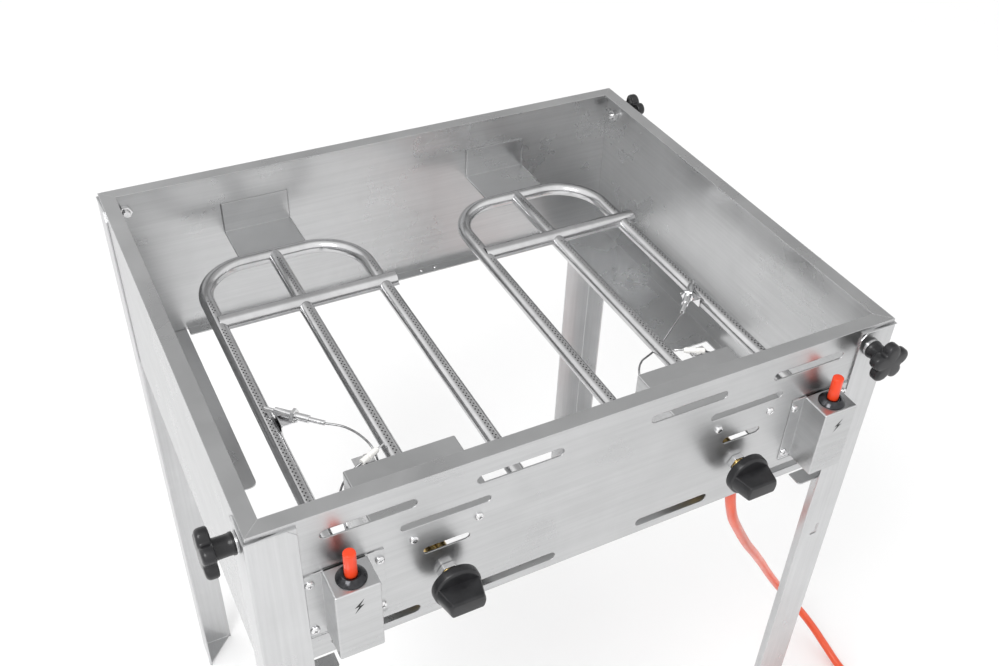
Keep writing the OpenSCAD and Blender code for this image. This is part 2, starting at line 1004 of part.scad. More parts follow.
// Low-pressure regulator: round body, hose spigot and cylinder nut with its thread.
module regulator() {
    tip = tail_route[len(tail_route) - 1];
    centre = [tip.x - 20 - regulator_r, tip.y, 0];
    edge = 5;
    height = 34;
    nut_x = centre.x - regulator_r - 26;
    color("dimgray")
        difference() {
            union() {
                translate(centre) {
                    rotate_extrude() {
                        square([regulator_r - edge, height]);
                        square([regulator_r, height - edge]);
                        translate([regulator_r - edge, height - edge])
                            circle(r = edge);
                    }
                    translate([0, 0, height - 1])
                        cylinder(h = 7, r = 10);
                }
                rod_x([centre.x + regulator_r - 4, tip.y, tip.z], 24, 7);
                rod_x([nut_x + 13, tip.y, tip.z], 18, 9);
                translate([nut_x, tip.y, tip.z])
                    rotate([0, 90, 0])
                        cylinder(h = 14, r = 15, $fn = 6);
            }
            rod_x([nut_x - 1, tip.y, tip.z], 13, inlet_thread_r);
        }
}

front_panel();
back_panel();
left_panel();
right_panel();
leg_front_left();
leg_front_right();
leg_back_left();
leg_back_right();
clamp_knob_front_left();
clamp_knob_front_right();
clamp_knob_back_right();
corner_bolt();
clamp_washer_front_left();
clamp_washer_front_right();
clamp_washer_back_right();
corner_washer();
clamp_nuts();
burner_loop_left();
burner_loop_right();
burner_centre_left();
burner_centre_right();
flame_bridge_left();
flame_bridge_right();
rear_bracket_left();
rear_bracket_right();
valve_box_left();
valve_box_right();
valve_body_left();
valve_body_right();
valve_plug_left();
valve_plug_right();
valve_stem_left();
valve_stem_right();
valve_knob_left();
valve_knob_right();
valve_nut_left();
valve_nut_right();
injectors();
gas_manifold();
hose_nozzle();
igniter_box_left();
igniter_box_right();
piezo_left();
piezo_right();
igniter_collars();
button_left();
button_right();
button_spring_left();
button_spring_right();
thermocouple_left();
thermocouple_right();
electrode_left();
electrode_right();
leads();
screws();
gas_hose();
hose_coil();
hose_tail();
regulator();
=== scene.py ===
import json
import math

import bmesh
import bpy
from mathutils import Matrix, Vector

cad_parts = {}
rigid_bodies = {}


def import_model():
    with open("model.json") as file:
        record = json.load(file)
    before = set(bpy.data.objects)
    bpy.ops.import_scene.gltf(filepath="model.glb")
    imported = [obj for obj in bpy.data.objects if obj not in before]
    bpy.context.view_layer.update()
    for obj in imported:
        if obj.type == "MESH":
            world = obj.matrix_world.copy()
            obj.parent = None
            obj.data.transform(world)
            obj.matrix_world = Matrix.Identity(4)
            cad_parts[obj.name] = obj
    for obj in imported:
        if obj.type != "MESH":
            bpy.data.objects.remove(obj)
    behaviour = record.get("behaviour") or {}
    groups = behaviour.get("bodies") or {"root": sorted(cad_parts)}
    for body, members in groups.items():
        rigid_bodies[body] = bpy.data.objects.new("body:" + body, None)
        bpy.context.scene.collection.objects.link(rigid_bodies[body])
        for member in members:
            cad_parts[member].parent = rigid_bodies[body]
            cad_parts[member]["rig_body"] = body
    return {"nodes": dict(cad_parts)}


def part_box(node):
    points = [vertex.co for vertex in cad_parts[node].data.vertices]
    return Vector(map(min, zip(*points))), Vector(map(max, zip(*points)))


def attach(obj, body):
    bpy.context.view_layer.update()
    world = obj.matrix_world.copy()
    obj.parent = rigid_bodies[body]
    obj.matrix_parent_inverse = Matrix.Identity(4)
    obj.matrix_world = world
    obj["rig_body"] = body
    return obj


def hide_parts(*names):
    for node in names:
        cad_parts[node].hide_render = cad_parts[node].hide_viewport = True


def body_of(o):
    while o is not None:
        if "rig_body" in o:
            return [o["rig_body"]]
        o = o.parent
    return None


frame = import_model()
bpy.context.view_layer.update()

MM = 0.001
SIDES = ("left", "right")
CORNERS = ("front_left", "front_right", "back_left", "back_right")
CLAMPS = ("front_left", "front_right", "back_right")
BODY = "stand"

# Heights hang from the rim, and depths from the front panel's outer face.
RIM_Z = round(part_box("front_panel")[1][2] / MM, 2)
SHIFT_Y = round(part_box("front_panel")[0][1] / MM + 270, 2)
BURNER_X = 157
IGNITER_X = 249.5
BUTTON_Y = -287
TUBE_Z = -88
TUBE_R = 8
BRANCH = 93


def middle(node):
    low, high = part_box(node)
    return (Vector(low) + Vector(high)) / 2


def at(x, y, z):
    """A point given in millimetres from the rim's middle, in the frame's metres."""
    return Vector((x, y + SHIFT_Y, z + RIM_Z)) * MM


# ---------------------------------------------------------------- camera

def add_camera():
    data = bpy.data.cameras.new("camera")
    data.sensor_width = 36
    data.lens = 39.24
    data.shift_x = -0.0189
    data.shift_y = 0.0202
    data.clip_end = 50
    camera = bpy.data.objects.new("camera", data)
    camera.location = (-0.4147, -0.8143, 1.4594)
    camera.rotation_euler = [math.radians(a) for a in (50.275, -2.330, -27.577)]
    bpy.context.scene.collection.objects.link(camera)
    bpy.context.scene.camera = camera


# ---------------------------------------------------------------- nodes of materials

class Nodes:
    """Short hand for building a material's node tree."""

    def __init__(self, name):
        self.material = bpy.data.materials.new(name)
        self.material.use_nodes = True
        self.tree = self.material.node_tree
        self.shader = self.tree.nodes["Principled BSDF"]
        self.place = self.add("ShaderNodeTexCoord").outputs["Object"]

    def add(self, kind, **settings):
        node = self.tree.nodes.new(kind)
        for key, value in settings.items():
            setattr(node, key, value)
        return node

    def link(self, source, target):
        self.tree.links.new(source, target)

    def stretched(self, scale):
        mapping = self.add("ShaderNodeMapping")
        mapping.inputs["Scale"].default_value = scale
        self.link(self.place, mapping.inputs["Vector"])
        return mapping.outputs["Vector"]

    def noise(self, scale, detail=3, rough=0.5, vector=None, distortion=0):
        node = self.add("ShaderNodeTexNoise")
        node.inputs["Scale"].default_value = scale
        node.inputs["Detail"].default_value = detail
        node.inputs["Roughness"].default_value = rough
        node.inputs["Distortion"].default_value = distortion
        self.link(vector or self.place, node.inputs["Vector"])
        return node.outputs["Fac"]

    def ramp(self, value, low, high, start=0.3, end=0.7):
        """Maps a value from start..end to low..high, clamped."""
        node = self.add("ShaderNodeMapRange")
        node.inputs["From Min"].default_value = start
        node.inputs["From Max"].default_value = end
        node.inputs["To Min"].default_value = low
        node.inputs["To Max"].default_value = high
        self.link(value, node.inputs["Value"])
        return node.outputs["Result"]

    def plus(self, a, b):
        node = self.add("ShaderNodeMath", operation="ADD")
        self.link(a, node.inputs[0])
        self.link(b, node.inputs[1])
        return node.outputs[0]

    def mix(self, factor, first, second):
        node = self.add("ShaderNodeMix", data_type="RGBA")
        node.inputs["A"].default_value = (*first, 1)
        node.inputs["B"].default_value = (*second, 1)
        self.link(factor, node.inputs["Factor"])
        return node.outputs["Result"]

    def bump(self, height, distance, below=None):
        node = self.add("ShaderNodeBump")
        node.inputs["Distance"].default_value = distance
        self.link(height, node.inputs["Height"])
        if below:
            self.link(below, node.inputs["Normal"])
        return node.outputs["Normal"]

    def set(self, **values):
        for key, value in values.items():
            self.shader.inputs[key.replace("_", " ")].default_value = value

    def feed(self, **sources):
        for key, source in sources.items():
            self.link(source, self.shader.inputs[key.replace("_", " ")])


def sheet_steel(name, dark, light, rough, grain=(6, 6, 260), wave=0.00045, edge=0):
    """Satin cold-rolled stainless: fine rolling grain, cloudy gloss and slightly wavy sheet."""
    n = Nodes(name)
    n.set(Metallic=1)
    cloud = n.noise(7, detail=5, rough=0.6, distortion=0.4)
    streak = n.noise(1, detail=4, rough=0.7, vector=n.stretched(grain))
    blotch = n.noise(28, detail=3, rough=0.6)
    tone = n.plus(n.ramp(cloud, 0, 0.6), n.ramp(streak, 0, 0.4))
    n.feed(Base_Color=n.mix(tone, dark, light))
    gloss = n.plus(n.ramp(cloud, rough[0], rough[1]), n.ramp(blotch, -0.03, 0.03))
    n.feed(Roughness=gloss)
    softened = None
    if edge:
        bend = n.add("ShaderNodeBevel", samples=6)
        bend.inputs["Radius"].default_value = edge
        softened = bend.outputs["Normal"]
    wavy = n.bump(n.noise(5, detail=1), wave, softened)
    n.feed(Normal=n.bump(streak, 0.00002, wavy))
    return n.material


def polished_tube():
    """Bright drawn tube with long drawing marks and heat-dulled patches."""
    n = Nodes("polished_tube")
    n.set(Metallic=1)
    patch = n.noise(18, detail=4, rough=0.6)
    streak = n.noise(1, detail=3, vector=n.stretched((700, 9, 700)))
    n.feed(Base_Color=n.mix(n.ramp(patch, 0, 1), (0.46, 0.46, 0.465), (0.62, 0.62, 0.625)))
    n.feed(Roughness=n.plus(n.ramp(patch, 0.22, 0.13), n.ramp(streak, 0, 0.06)))
    n.feed(Normal=n.bump(streak, 0.00001, n.bump(n.noise(25, detail=1), 0.0001)))
    return n.material


def bright_metal(name, dark, light, rough=(0.1, 0.22)):
    """Plated or turned metal with fine handling marks."""
    n = Nodes(name)
    n.set(Metallic=1)
    patch = n.noise(160, detail=4, rough=0.6)
    n.feed(Base_Color=n.mix(n.ramp(patch, 0, 1), dark, light))
    n.feed(Roughness=n.ramp(patch, rough[0], rough[1]))
    n.feed(Normal=n.bump(n.noise(900, detail=2), 0.00001))
    return n.material


def plastic(name, dark, light, rough, pebble=0.00002, coat=0.0):
    """Moulded plastic: fine mould texture, worn lighter in patches."""
    n = Nodes(name)
    n.set(Coat_Weight=coat, Coat_Roughness=0.15, Specular_IOR_Level=0.3)
    patch = n.noise(45, detail=5, rough=0.65)
    n.feed(Base_Color=n.mix(n.ramp(patch, 0, 1, 0.35, 0.75), dark, light))
    n.feed(Roughness=n.ramp(patch, rough[0], rough[1]))
    n.feed(Normal=n.bump(n.noise(1400, detail=2), pebble))
    return n.material


def hose_rubber():
    """Extruded orange hose: smooth skin with faint draw lines and dust."""
    n = Nodes("hose_rubber")
    n.set(Subsurface_Weight=0.08, Subsurface_Radius=(0.004, 0.0015, 0.0008), Coat_Weight=0.25, Coat_Roughness=0.2)
    patch = n.noise(30, detail=4, rough=0.6)
    n.feed(Base_Color=n.mix(n.ramp(patch, 0, 1), (0.66, 0.062, 0.014), (0.76, 0.088, 0.02)))
    n.feed(Roughness=n.ramp(patch, 0.28, 0.42))
    n.feed(Normal=n.bump(n.noise(500, detail=2), 0.00003))
    return n.material


def ceramic():
    n = Nodes("ceramic")
    n.set(Coat_Weight=0.5, Coat_Roughness=0.08)
    patch = n.noise(200, detail=3)
    n.feed(Base_Color=n.mix(n.ramp(patch, 0, 1), (0.84, 0.83, 0.79), (0.93, 0.92, 0.9)))
    n.feed(Roughness=n.ramp(patch, 0.2, 0.34))
    return n.material


# Painted shade: the near-black port discs stand in for the dark insides of the burner's gas holes; the noise only
# varies that painted shade.
def painted_port_shade():
    n = Nodes("painted_port_shade")
    port_shade_speckle = n.noise(800, detail=2)
    n.feed(Base_Color=n.mix(n.ramp(port_shade_speckle, 0, 1), (0.006, 0.006, 0.006), (0.02, 0.019, 0.018)))
    n.set(Roughness=0.8, Specular_IOR_Level=0.2)
    return n.material


def floor_white():
    n = Nodes("floor_white")
    tone = n.noise(1.5, detail=2)
    n.feed(Base_Color=n.mix(n.ramp(tone, 0, 1), (0.90, 0.90, 0.90), (0.92, 0.92, 0.92)))
    n.set(Roughness=0.9, Specular_IOR_Level=0.1)
    return n.material


SHEET = sheet_steel("sheet_steel", (0.44, 0.443, 0.446), (0.58, 0.583, 0.587), (0.24, 0.38))
PANEL = sheet_steel("panel_steel", (0.44, 0.443, 0.446), (0.58, 0.583, 0.587), (0.24, 0.38), edge=0.0009)
LEG = sheet_steel("leg_steel", (0.5, 0.503, 0.507), (0.64, 0.643, 0.648), (0.26, 0.38), grain=(260, 260, 6))
TUBE = polished_tube()
BRIGHT = bright_metal("bright_metal", (0.62, 0.62, 0.63), (0.8, 0.8, 0.8))
BRASS = bright_metal("brass", (0.52, 0.36, 0.13), (0.72, 0.53, 0.22), (0.2, 0.34))
LEAD = bright_metal("lead_metal", (0.2, 0.2, 0.205), (0.36, 0.36, 0.365), (0.2, 0.35))
KNOB = plastic("knob_plastic", (0.010, 0.010, 0.011), (0.022, 0.022, 0.024), (0.26, 0.42), coat=0.15)
BLACK = plastic("black_plastic", (0.012, 0.012, 0.012), (0.03, 0.03, 0.03), (0.4, 0.55))
RED = plastic("red_plastic", (0.72, 0.045, 0.01), (0.8, 0.065, 0.014), (0.3, 0.42), coat=0.2)
DARK = bright_metal("dark_metal", (0.03, 0.03, 0.032), (0.07, 0.07, 0.075), (0.12, 0.24))
HOSE = hose_rubber()
CERAMIC = ceramic()
# Painted shade for the burner's gas port holes.
PORT_SHADE = painted_port_shade()


# ---------------------------------------------------------------- mesh helpers

def finish_piece(obj, material, body, slot, *nodes):
    obj.data.materials.append(material)
    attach(obj, body)
    if nodes:
        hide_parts(*nodes)
    return obj


def mesh_object(name, mesh, sharp=35):
    bm = bmesh.new()
    bm.from_mesh(mesh)
    bmesh.ops.recalc_face_normals(bm, faces=bm.faces)
    bm.to_mesh(mesh)
    bm.free()
    mesh.polygons.foreach_set("use_smooth", [True] * len(mesh.polygons))
    mesh.set_sharp_from_angle(angle=math.radians(sharp))
    obj = bpy.data.objects.new(name, mesh)
    bpy.context.scene.collection.objects.link(obj)
    return obj


class Shape:
    """Collects solids in millimetres; each is placed by a matrix in metres."""

    def __init__(self):
        self.verts = []
        self.faces = []

    def add(self, verts, faces, matrix=Matrix()):
        start = len(self.verts)
        self.verts += [matrix @ (Vector(v) * MM) for v in verts]
        self.faces += [[start + i for i in f] for f in faces]

    def lathe(self, profile, matrix=Matrix(), steps=48, radius=None):
        """Turns (r, z) points about Z. radius(angle, r, z) may reshape the outline."""
        rows = []
        verts = []
        for r, z in profile:
            if r == 0:
                rows.append([len(verts)] * steps)
                verts.append((0, 0, z))
                continue
            rows.append([len(verts) + k for k in range(steps)])
            for k in range(steps):
                angle = 2 * math.pi * k / steps
                reach = radius(angle, r, z) if radius else r
                verts.append((reach * math.cos(angle), reach * math.sin(angle), z))
        faces = []
        for low, high in zip(rows, rows[1:]):
            for k in range(steps):
                j = (k + 1) % steps
                ring = [low[k], low[j], high[j], high[k]]
                face = [v for i, v in enumerate(ring) if v not in ring[:i]]
                if len(face) > 2:
                    faces.append(face)
        self.add(verts, faces, matrix)

    def prism(self, outline, low, high, matrix=Matrix(), chamfer=0.0, pull=0.93):
        """Extrudes a 2-D outline from low to high, with its ends drawn in by a chamfer."""
        levels = [(low, pull), (low + chamfer, 1), (high - chamfer, 1), (high, pull)]
        if not chamfer:
            levels = [(low, 1), (high, 1)]
        count = len(outline)
        cx = sum(p[0] for p in outline) / count
        cy = sum(p[1] for p in outline) / count
        verts = [
            (cx + (x - cx) * s, cy + (y - cy) * s, z)
            for z, s in levels
            for x, y in outline
        ]
        faces = [list(range(count))[::-1]]
        for row in range(len(levels) - 1):
            for k in range(count):
                j = (k + 1) % count
                a = row * count
                faces.append([a + k, a + j, a + count + j, a + count + k])
        top = (len(levels) - 1) * count
        faces.append(list(range(top, top + count)))
        self.add(verts, faces, matrix)

    def object(self, name, sharp=35):
        mesh = bpy.data.meshes.new(name)
        mesh.from_pydata(self.verts, [], self.faces)
        return mesh_object(name, mesh, sharp)


def aimed(origin, direction, up=(0, 0, 1)):
    """A matrix whose Z points along direction, and whose Y is as near up as it can be."""
    z = Vector(direction).normalized()
    up = Vector(up)
    if abs(z.dot(up)) > 0.99:
        up = Vector((0, 1, 0))
    x = up.cross(z).normalized()
    y = z.cross(x)
    m = Matrix((x, y, z)).transposed().to_4x4()
    m.translation = Vector(origin)
    return m


def arc(cx, cz, r, start, end, steps=6):
    """Profile points on a circle, angles in degrees."""
    return [
        (cx + r * math.cos(math.radians(start + (end - start) * i / steps)),
         cz + r * math.sin(math.radians(start + (end - start) * i / steps)))
        for i in range(steps + 1)
    ]


def hexagon(across_flats):
    r = across_flats / math.sqrt(3)
    return [(r * math.cos(math.radians(60 * k)), r * math.sin(math.radians(60 * k))) for k in range(6)]


def smooth_curve(name, points, radius, steps=8, sides=6):
    """A round tube along a smooth line through the points, which are in metres."""
    data = bpy.data.curves.new(name, "CURVE")
    data.dimensions = "3D"
    data.bevel_depth = radius
    data.bevel_resolution = sides
    data.resolution_u = steps
    data.use_fill_caps = True
    spline = data.splines.new("BEZIER")
    spline.bezier_points.add(len(points) - 1)
    last = len(points) - 1
    for i, point in enumerate(points):
        reach = (Vector(points[min(i + 1, last)]) - Vector(points[max(i - 1, 0)])) / 6
        knot = spline.bezier_points[i]
        knot.co = point
        knot.handle_left_type = "FREE"
        knot.handle_right_type = "FREE"
        knot.handle_left = Vector(point) - reach
        knot.handle_right = Vector(point) + reach
    obj = bpy.data.objects.new(name, data)
    bpy.context.scene.collection.objects.link(obj)
    return obj


SHEET_T = 1.5
FOLD_ANGLE = 35


def rounded(node, material, slot, bend, cut, name=None, sheet=2.1):
    """A copy of a sheet or solid with real bend radii and broken cut edges."""
    source = frame["nodes"][node]
    mesh = source.data.copy()
    bm = bmesh.new()
    bm.from_mesh(mesh)
    bmesh.ops.remove_doubles(bm, verts=bm.verts, dist=0.000005)
    bmesh.ops.dissolve_limit(bm, angle_limit=math.radians(0.3), verts=bm.verts, edges=bm.edges)
    weight = bm.edges.layers.float.new("bevel_weight_edge")
    for face in bm.faces:
        face.smooth = True
    for edge in bm.edges:
        if len(edge.link_faces) != 2:
            continue
        turn = edge.calc_face_angle_signed(0)
        if abs(turn) < math.radians(FOLD_ANGLE):
            continue
        strip = min(f.calc_area() / max(e.calc_length() for e in f.edges) for f in edge.link_faces)
        if strip < sheet * MM:
            edge[weight] = cut / bend
        else:
            edge[weight] = 1 if turn > 0 else max(cut, bend - SHEET_T) / bend
    bmesh.ops.triangulate(bm, faces=[f for f in bm.faces if len(f.verts) > 4])
    bm.to_mesh(mesh)
    bm.free()
    if "custom_normal" in mesh.attributes:
        mesh.attributes.remove(mesh.attributes["custom_normal"])
    obj = bpy.data.objects.new(name or node + "_made", mesh)
    bpy.context.scene.collection.objects.link(obj)
    mesh.materials.clear()
    bevel = obj.modifiers.new("round", "BEVEL")
    bevel.limit_method = "WEIGHT"
    bevel.width = bend * MM
    bevel.segments = 3
    bevel.use_clamp_overlap = False
    bevel.loop_slide = False
    shading = obj.modifiers.new("shading", "WEIGHTED_NORMAL")
    shading.weight = 100
    body = body_of(source)[0]
    return finish_piece(obj, material, body, slot, node)


# ---------------------------------------------------------------- the gas hose

HOSE_ROUTE = [
    (190, -221.5, 636), (191, -221.5, 614), (196, -219.5, 592), (204, -215.5, 570),
    (214, -210.5, 547), (228, -202.5, 521), (249, -191.5, 486), (275, -176.5, 444),
    (308, -158.5, 392), (343, -141.5, 340), (370, -125.5, 299), (397, -111.5, 258),
    (434, -96.5, 199), (472, -88.5, 140), (499, -92.5, 101), (521, -105.5, 69),
    (537, -126.5, 42), (546, -152.5, 21), (549, -182.5, 9), (550, -214.5, 6.5),
    (550, -246.5, 6.1), (550, -278.5, 6.1),
]
TAIL_ROUTE = [(462, -344.5, 18), (440, -344.5, 18), (420, -344.5, 18), (402, -344.5, 18)]
COIL_MIDDLE = (484, -278.5)
COIL_R = 66
HOSE_D = 12
TIE_W = 6
COIL_STEPS = 20
COIL_SWEEP = 450
CLIMB_START = 240
CLIMB_SWEEP = 105


def coil_points():
    """One and a quarter turns: the first on the floor, the rest on top of it."""
    points = []
    low = HOSE_ROUTE[-1][2]
    high = TAIL_ROUTE[0][2]
    for i in range(1, COIL_STEPS + 1):
        turned = COIL_SWEEP * i / COIL_STEPS
        climb = min(max((turned - CLIMB_START) / CLIMB_SWEEP, 0), 1)
        z = low + (high - low) * climb * climb * (3 - 2 * climb)
        angle = math.radians(-turned)
        x = COIL_MIDDLE[0] + COIL_R * math.cos(angle)
        y = COIL_MIDDLE[1] + COIL_R * math.sin(angle)
        points.append((x, y, z))
    return points


def add_hose():
    route = [Vector(p) * MM for p in HOSE_ROUTE + coil_points() + TAIL_ROUTE]
    hose = smooth_curve("hose", route, HOSE_D / 2 * MM, steps=10, sides=8)
    finish_piece(hose, HOSE, BODY, "hose_rubber", "gas_hose", "hose_coil", "hose_tail")

    tie = Shape()
    half = HOSE_D / 2 + 0.3
    band = [(half * math.cos(a), min(half * math.sin(a), 0)) for a in
            [math.radians(180 + 15 * k) for k in range(13)]]
    loop = [(x, max(z + HOSE_D / 2, 0.05)) for x, z in band]
    loop += [(-x, 3 * HOSE_D / 2 - z) for x, z in band]
    place = aimed(Vector((COIL_MIDDLE[0] - COIL_R, COIL_MIDDLE[1], 0)) * MM, (0, 1, 0))
    outer = [(x * 1.12, z if z < 1 else HOSE_D + (z - HOSE_D) * 1.05) for x, z in loop]
    tie.prism(outer, -TIE_W / 2, TIE_W / 2, place)
    tie = finish_piece(tie.object("hose_tie"), BLACK, BODY, "black_plastic")


# ---------------------------------------------------------------- pieces

def cross(arm, half):
    """Outline of a cross recess, as a radius for each angle."""
    def radius(angle, r, z):
        a = angle % (math.pi / 2)
        a = min(a, math.pi / 2 - a)
        reach = arm / math.cos(a) if math.tan(a) <= half / arm else half / math.sin(a)
        return reach * r
    return radius


SCREW_H = 2.62
SCREW_FLAT_R = 2.3
SCREW_STEPS = 32
SCREW_TURN = 0.7


def add_screws():
    """Cross-recessed heads, each driven home at its own angle, and two small heads at the back."""
    shape = Shape()
    spots = []
    for side in (-1, 1):
        for end in (-30.5, 30.5):
            spots.append((side * BURNER_X + end, -270, -69))
            for z in (-77.5, -137.5):
                spots.append((side * IGNITER_X + end, -271, z))
    recess = cross(2.1, 0.42)
    turn = 0
    for spot in spots:
        turn += SCREW_TURN
        seat = aimed(at(*spot), (0, -1, 0)) @ Matrix.Rotation(turn, 4, "Z")
        dome = [(4.15, 0), (4.15, 0.7)] + arc(2.2, 0.7, 1.95, 0, 75, 5)
        shape.lathe([(3.6, 0)] + dome + [(SCREW_FLAT_R, SCREW_H)], seat, SCREW_STEPS)
        shape.lathe([(1, SCREW_H), (0.8, 1.2), (0, 1.0)], seat, SCREW_STEPS, recess)
        stitch(shape, seat, SCREW_FLAT_R, recess, SCREW_H, SCREW_STEPS)
    for x in (50, 70):
        head = aimed(at(x, 262, -207.5), (0, 0, 1))
        shape.lathe([(2.5, 0)] + arc(1.3, 0, 1.2, 0, 90, 4) + [(0, 1.3)], head, 20)
    screws = shape.object("screw_heads", 30)
    finish_piece(screws, BRIGHT, BODY, "bright_metal", "screws")


def stitch(shape, matrix, r, outline, z, steps):
    """The flat ring between a circle and an outline inside it."""
    verts = []
    for k in range(steps):
        a = 2 * math.pi * k / steps
        reach = outline(a, 1, z)
        verts.append((r * math.cos(a), r * math.sin(a), z))
        verts.append((reach * math.cos(a), reach * math.sin(a), z))
    count = 2 * steps
    faces = [[2 * k, (2 * k + 2) % count, (2 * k + 3) % count, 2 * k + 1] for k in range(steps)]
    shape.add(verts, faces, matrix)


def grip_ring(r, half, z):
    """A circle cut by two flats, as a ring of points with rounded corners."""
    corner = 1.6
    lean = math.asin((half - corner) / (r - corner))
    points = []
    for side in (0, math.pi):
        for k in range(9):
            a = -lean + 2 * lean * k / 8
            points.append((r * math.cos(a + side), r * math.sin(a + side), z))
        for middle_angle, start, steps in ((lean, lean, range(1, 5)), (math.pi - lean, math.pi / 2, range(4))):
            cx = (r - corner) * math.cos(middle_angle + side)
            cy = (r - corner) * math.sin(middle_angle + side)
            for k in steps:
                a = start + side + (math.pi / 2 - lean) * k / 4
                points.append((cx + corner * math.cos(a), cy + corner * math.sin(a), z))
    return points


def add_valve_knob(name, side):
    seat = aimed(at(side * BURNER_X, -286, -124), (0, -1, 0))
    shape = Shape()
    skirt = [(4.1, 0.6), (20, 0.6), (21.5, 0), (22.3, 0.4), (22.5, 1.2)] + arc(19.5, 6.5, 3, 0, 90, 6)
    shape.lathe(skirt + [(12, 9.6), (0, 9.6)], seat, 96)
    levels = [(21.2, 8.5, 8.5), (20.9, 8.5, 10.5), (17.3, 8.5, 27.2)]
    levels += [(17.2 - 2.4 * (1 - math.cos(t)), 8.5 - 2.4 * (1 - math.cos(t)), 27.4 + 2.4 * math.sin(t))
               for t in [math.radians(15 * k) for k in range(1, 7)]]
    rings = [grip_ring(r, half, z) for r, half, z in levels]
    count = len(rings[0])
    verts = [p for ring in rings for p in ring]
    faces = []
    for i in range(len(rings) - 1):
        low, high = i * count, (i + 1) * count
        for k in range(count):
            j = (k + 1) % count
            faces.append([low + k, low + j, high + j, high + k])
    faces.append([(len(rings) - 1) * count + k for k in range(count)])
    faces.append(list(range(count))[::-1])
    shape.add(verts, faces, seat)
    node = "valve_knob_" + name
    finish_piece(shape.object("valve_knob_made_" + name, 40), KNOB, node, "knob_plastic", node)


def star(angle, r, z):
    """Five round lobes joined by soft flutes; r scales the whole outline."""
    lobe_r, out, base, widest = 7.5, 14.5, 15.2, 22
    d = (angle - math.radians(18) + math.pi / 5) % (2 * math.pi / 5) - math.pi / 5
    across = out * math.sin(d)
    lobe = out * math.cos(d) + math.sqrt(lobe_r ** 2 - across ** 2) if abs(across) < lobe_r else 0
    blend = 14
    return min((lobe ** blend + base ** blend) ** (1 / blend), widest) * r


def thread(pitch, depth):
    def radius(angle, r, z):
        turn = (z / pitch - angle / (2 * math.pi)) % 1
        return r - depth * abs(2 * turn - 1)
    return radius


WASHER_T = 1.5
CLAMP_PITCH = 1.25


def add_clamp_knob(corner):
    node = "clamp_knob_" + corner
    seat = middle("clamp_washer_" + corner)
    out = middle(node) - seat
    if abs(out.x) > abs(out.y):
        axis = Vector((math.copysign(1, out.x), 0, 0))
    else:
        axis = Vector((0, math.copysign(1, out.y), 0))
    x = Vector((0, 0, -axis.x)) if axis.x else Vector((1, 0, 0))
    y = axis.cross(x)
    place = Matrix((x, y, axis)).transposed().to_4x4()
    place.translation = seat - axis * WASHER_T / 2 * MM
    shape = Shape()
    hub = [(4, 1.5), (9.3, 1.5), (9.7, 1.9), (9.7, 4.2), (9.2, 4.8), (9.0, 8), (9.2, 17), (10.5, 20.6)]
    shape.lathe(hub, place, 48)
    head = [(0.4, 20.6), (0.76, 20.2), (0.82, 18.9), (0.87, 18.5), (0.93, 18.7), (0.975, 19.5), (1, 21), (1, 25.3),
            (0.99, 26.6), (0.965, 27.7), (0.925, 28.6), (0.87, 29.2), (0.76, 29.55), (0.6, 29.75), (0.4, 29.9),
            (0.2, 30), (0, 30)]
    shape.lathe(head, place, 120, star)
    knob = shape.object(node + "_made", 50)
    finish_piece(knob, KNOB, node, "knob_plastic", node)
    stud = Shape()
    rows = [(0, -14), (3.1, -14)] + [(4, -13.2 + 0.25 * k) for k in range(60)]
    stud.lathe(rows, place, 20, thread(CLAMP_PITCH, 0.55))
    finish_piece(stud.object("clamp_stud_" + corner, 60), BRIGHT, node, "bright_metal")


def add_button(name, side):
    place = aimed(at(side * IGNITER_X, BUTTON_Y, 0), (0, 0, 1), (0, 1, 0))
    shape = Shape()
    shape.lathe([(0, -85), (5.2, -85), (5.5, -84.6), (5.5, -36.8)] + arc(3.9, -36.6, 1.6, 0, 80, 5)
                + [(2.5, -35.02), (0, -35)], place, 48)
    node = "button_" + name
    finish_piece(shape.object("button_made_" + name, 40), RED, node, "red_plastic", node)


def add_collars():
    shape = Shape()
    for side in (-1, 1):
        place = aimed(at(side * IGNITER_X, BUTTON_Y, -66), (0, 0, 1), (0, 1, 0))
        shape.lathe([(6.95, 0), (13.0, 0), (13.2, 0.2), (13.2, 0.9), (12.9, 1.4), (8.7, 5.1), (8.1, 5.45), (7.6, 5.5),
                     (6.2, 5.5), (5.9, 5.2), (5.85, 4.2), (6.95, 4.2), (6.95, 0)], place, 64)
    finish_piece(shape.object("igniter_collars_made", 35), DARK, BODY, "dark_metal", "igniter_collars")


def add_thermocouple(name, side):
    tip = at(side * (BURNER_X + BRANCH), -53 if side < 0 else -51, -76)
    lean = math.radians(-44.3)
    along = Vector((-side * math.cos(lean), math.sin(lean), 0))
    place = aimed(tip, along)
    shape = Shape()
    probe = [(0, 0)] + arc(1.0, 1.2, 1.2, -90, 0, 4)
    shape.lathe(probe + [(2.2, 11.6), (2.7, 12), (3.8, 12), (4, 12.3), (4, 30.5)], place, 32)
    shape.prism(hexagon(13), 30, 34, place, 0.5, 0.9)
    shape.lathe([(4, 33.5), (4, 47.6), (3.7, 48), (2.6, 48), (2.6, 63.5), (2.2, 64), (0, 64)], place, 32)
    plate = Matrix.Translation(tip)
    outward = -side
    near, far = 8.1, 9.3
    edge = [(outward * near, -28), (outward * far, -28), (outward * far, -6), (outward * near, -6)]
    shape.prism(edge, -16, -2.4, plate)
    shelf = [(outward * near, -28), (outward * 24.1, -28), (outward * 24.1, -10), (outward * near, -10)]
    shape.prism(shelf, -4.7, -3.5, plate)
    node = "thermocouple_" + name
    finish_piece(shape.object(node + "_made", 35), BRIGHT, BODY, "bright_metal", node)


